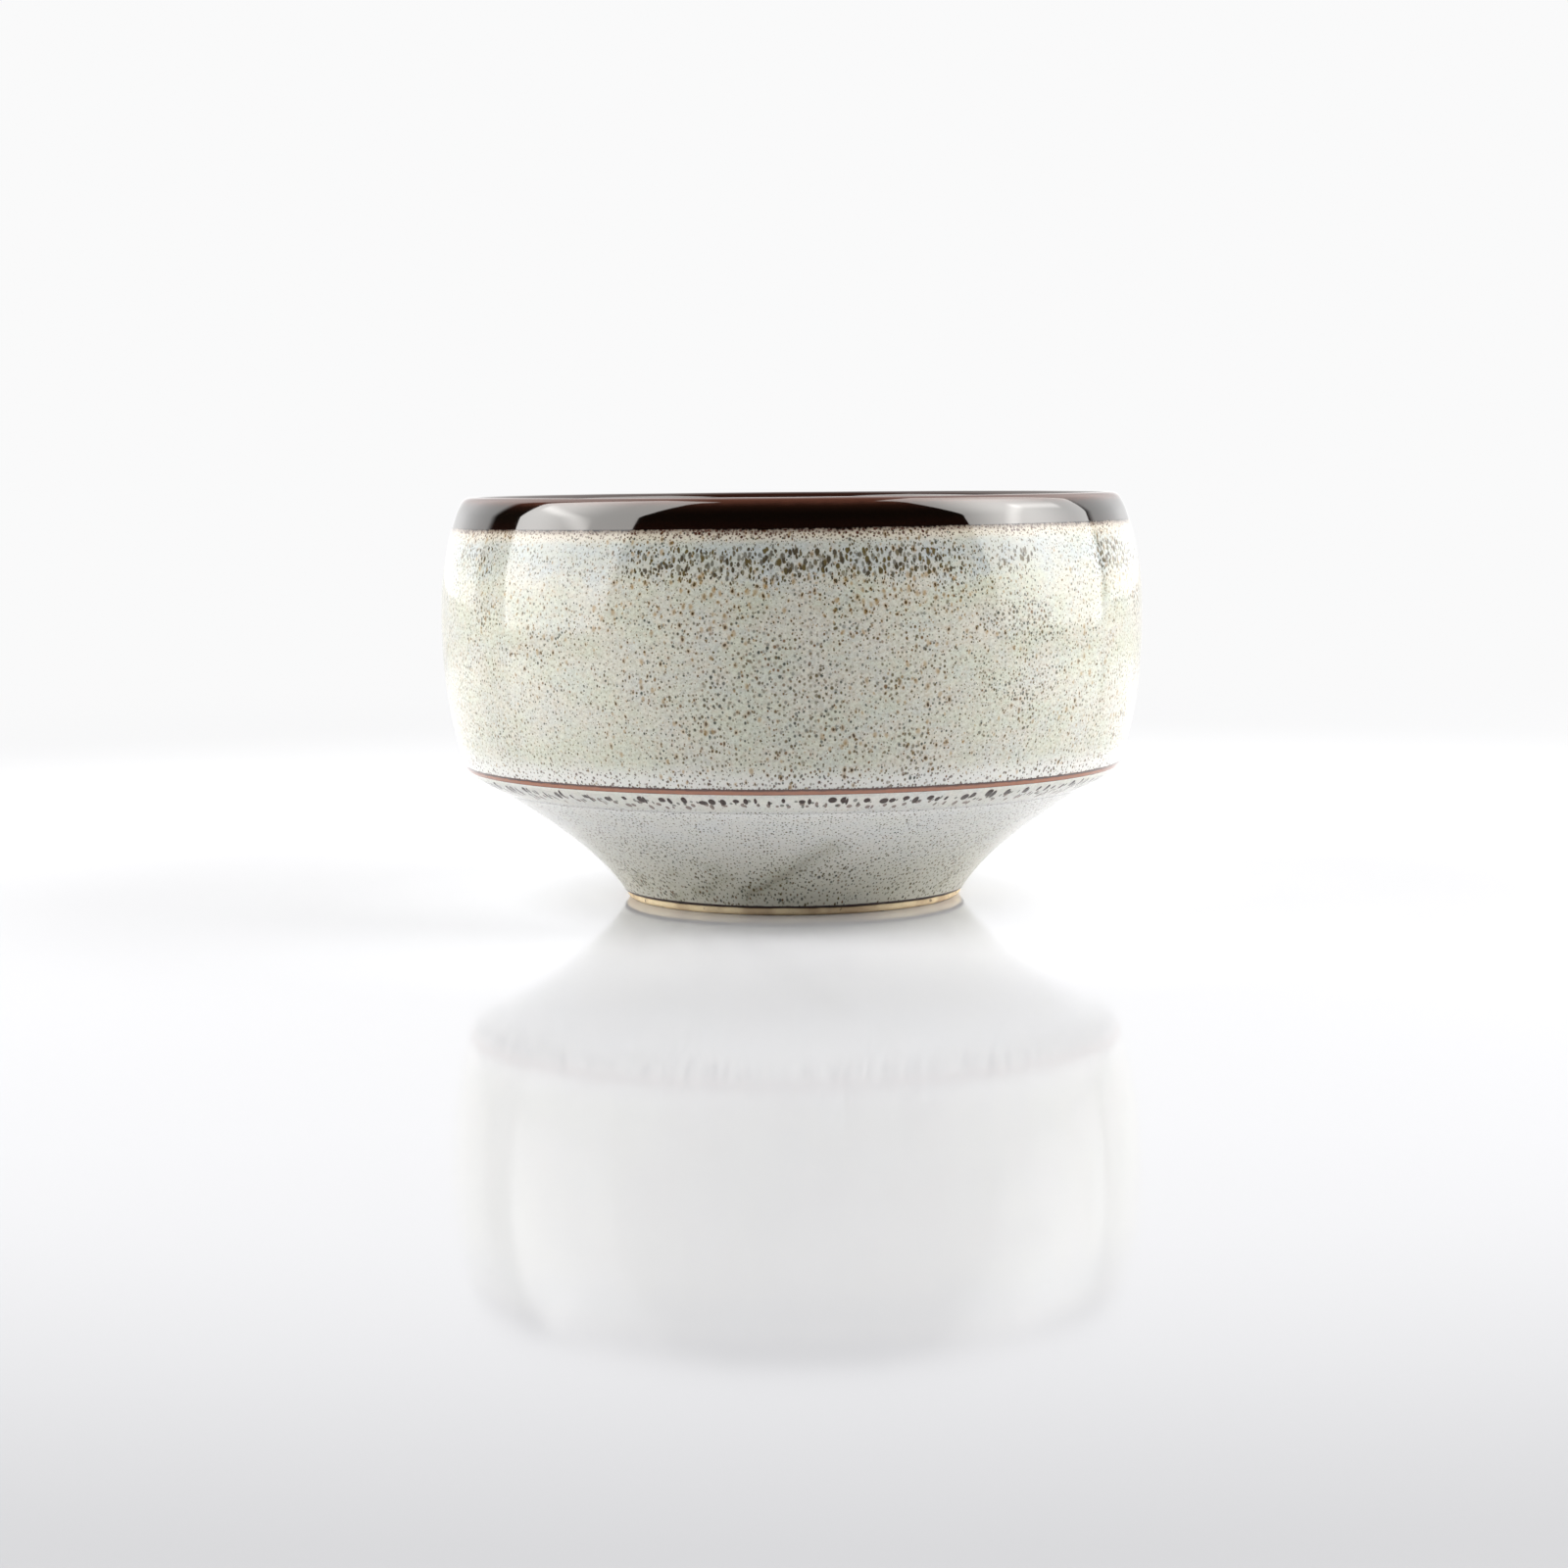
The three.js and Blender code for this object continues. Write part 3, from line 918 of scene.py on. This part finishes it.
def make_floor():
    mesh = bpy.data.meshes.new("floor")
    half = FLOOR_HALF
    corners = [(-half, -half, 0), (half, -half, 0), (half, half, 0), (-half, half, 0)]
    mesh.from_pydata(corners, [], [(0, 1, 2, 3)])
    floor = bpy.data.objects.new("floor", mesh)
    bpy.context.scene.collection.objects.link(floor)
    g = Coating("floor")
    seen = g.node("ShaderNodeLightPath").outputs["Is Camera Ray"]
    # Painted shade: the floor the camera sees darkens from 245 to 400 mm out, where less light falls
    edge = g.fade(g.radius(), 245, 400, 0, 0.27)
    grey = g.blend(edge, FLOOR_SEEN, (0, 0, 0, 1))
    # Painted light: the floor's colour is lighter round the foot, lifting the bowl's contact shadow
    grey = g.blend(g.fade(g.radius(), 127, 22), grey, FLOOR_PAINTED_LIGHT_BY_FOOT)
    grey = g.blend(seen, FLOOR_BOUNCE, grey)
    mesh.materials.append(g.finish(grey, FLOOR_ROUGHNESS, 0.0, ior=FLOOR_IOR))
    # Far from the bowl the floor turns into the same even white as the background, sooner on
    # the camera's side, where little light falls.
    glow = g.node("ShaderNodeEmission", BACKGROUND)
    far = g.fade(g.radius(), 340, g.fade(g.y, -150, 150, 420, 620))
    mixed = g.node("ShaderNodeMixShader", far, g.shader.outputs[0], glow.outputs[0])
    g.put(g.tree.nodes["Material Output"].inputs["Surface"], mixed.outputs[0])


def make_world():
    """A bright backdrop behind the bowl and hardly any light from in front or above.

    The camera itself sees an even white.
    """
    world = bpy.data.worlds.new("studio")
    bpy.context.scene.world = world
    world.use_nodes = True
    g = Graph(world.node_tree)
    aside = g.math("ABSOLUTE", g.x)
    behind = g.fade(g.math("MULTIPLY_ADD", aside, -0.67, g.y), -0.04, 0.06)
    strength = g.times(behind, g.fade(g.z, 0.06, 0.2, 1.25, 1.1), g.fade(g.z, 0.97, 0.8),
                       g.fade(aside, 0.25, 0.55, 1.0, 1.6))
    lit = g.tree.nodes["Background"]
    g.put(lit.inputs["Color"], (1, 1, 1, 1))
    g.put(lit.inputs["Strength"], g.math("ADD", strength, 0.02))
    plain = g.node("ShaderNodeBackground", BACKGROUND)
    to_camera = g.node("ShaderNodeLightPath").outputs["Is Camera Ray"]
    mixed = g.node("ShaderNodeMixShader", to_camera, lit.outputs[0], plain.outputs[0])
    g.put(g.tree.nodes["World Output"].inputs["Surface"], mixed.outputs[0])


PANEL_DISTANCE = 0.7        # metres from the bowl
PANEL_HEIGHT = 1.15
PANEL_RISE = 0.27           # how far up its own slope the panel is moved
PANEL_LEAN = math.radians(21)
PANEL_AIM = Vector((0, 0, 0.045))       # the place on the bowl's axis that they stand round


def set_panel_glow(light, hot, folds):
    """Brightest at one place, with bright folds in its cloth, and dimmer close to the floor."""
    light.use_nodes = True
    across = light.node_tree.nodes.new("ShaderNodeNewGeometry").outputs["Parametric"]
    g = Graph(light.node_tree, at=across)
    brightest, where = hot
    beside = g.math("SUBTRACT", g.x, where)
    above = g.times(g.math("SUBTRACT", g.y, 0.4), 0.9)
    off = g.math("SQRT", g.math("ADD", g.times(beside, beside), g.times(above, above)))
    glow = g.fade(off, 0.5, 0.0, 0.75, brightest)
    for start, end in folds:
        glow = g.math("ADD", glow, g.fade(g.gap(g.place, start, end), 0.055, 0.0, 0, 0.5))
    glow = g.times(glow, g.fade(g.y, 0, 0.2, 0.7, 1))
    g.put(light.node_tree.nodes["Emission"].inputs["Strength"], glow)


def softbox(name, azimuth, width, forward, radiance, hot, folds):
    """A tall light panel that leans over the bowl from the floor up.

    azimuth is degrees round from the camera's side of the bowl, + to the right, and forward is
    metres moved towards the camera. hot is how bright the panel is at its brightest place, and
    where that is across it, from 0 to 1. folds are bright folds in its cloth, each from one
    place on it to another.
    """
    turn = math.radians(azimuth)
    level = Vector((math.sin(turn), -math.cos(turn), 0))
    away = level * math.cos(PANEL_LEAN) + Vector((0, 0, math.sin(PANEL_LEAN)))
    aside = Vector((math.cos(turn), math.sin(turn), 0))
    up = away.cross(aside)
    light = bpy.data.lights.new(name, "AREA")
    light.shape = "RECTANGLE"
    light.size = width
    light.size_y = PANEL_HEIGHT
    light.energy = radiance * math.pi * width * PANEL_HEIGHT
    set_panel_glow(light, hot, folds)
    panel = bpy.data.objects.new(name, light)
    to_front = -math.copysign(1, azimuth)
    place = PANEL_AIM + away * PANEL_DISTANCE + up * PANEL_RISE + aside * to_front * forward
    panel.matrix_world = Matrix.Translation(place) @ Matrix((aside, up, away)).transposed().to_4x4()
    panel.visible_camera = False
    bpy.context.scene.collection.objects.link(panel)


CAMERA_PLACE = Vector((-1.6, -559.3, 73.5))     # millimetres
CAMERA_PITCH = math.radians(5.56)
CAMERA_ROLL = math.radians(0.54)
CAMERA_LENS = 74.57


def make_camera():
    camera = bpy.data.cameras.new("camera")
    camera.lens = CAMERA_LENS
    camera.sensor_width = 36
    camera.clip_start = 0.01
    camera.clip_end = 30
    holder = bpy.data.objects.new("camera", camera)
    pitched = Matrix.Rotation(math.pi / 2 - CAMERA_PITCH, 4, "X")
    look = pitched @ Matrix.Rotation(-CAMERA_ROLL, 4, "Z")
    holder.matrix_world = Matrix.Translation(CAMERA_PLACE * MM) @ look
    bpy.context.scene.collection.objects.link(holder)
    bpy.context.scene.camera = holder


make_floor()
make_world()
softbox("softbox_left", -84.4, 0.575, 0.052, 7.0, (1.25, 0.25), [((0.12, 0.42), (0.62, 0.3))])
softbox("softbox_right", 94.5, 0.675, 0.048, 6.1, (1.7, 0.4),
        [((0.3, 0.29), (0.5, 0.42)), ((0.5, 0.42), (0.78, 0.36))])
make_camera()
bpy.context.scene.view_settings.view_transform = "Standard"
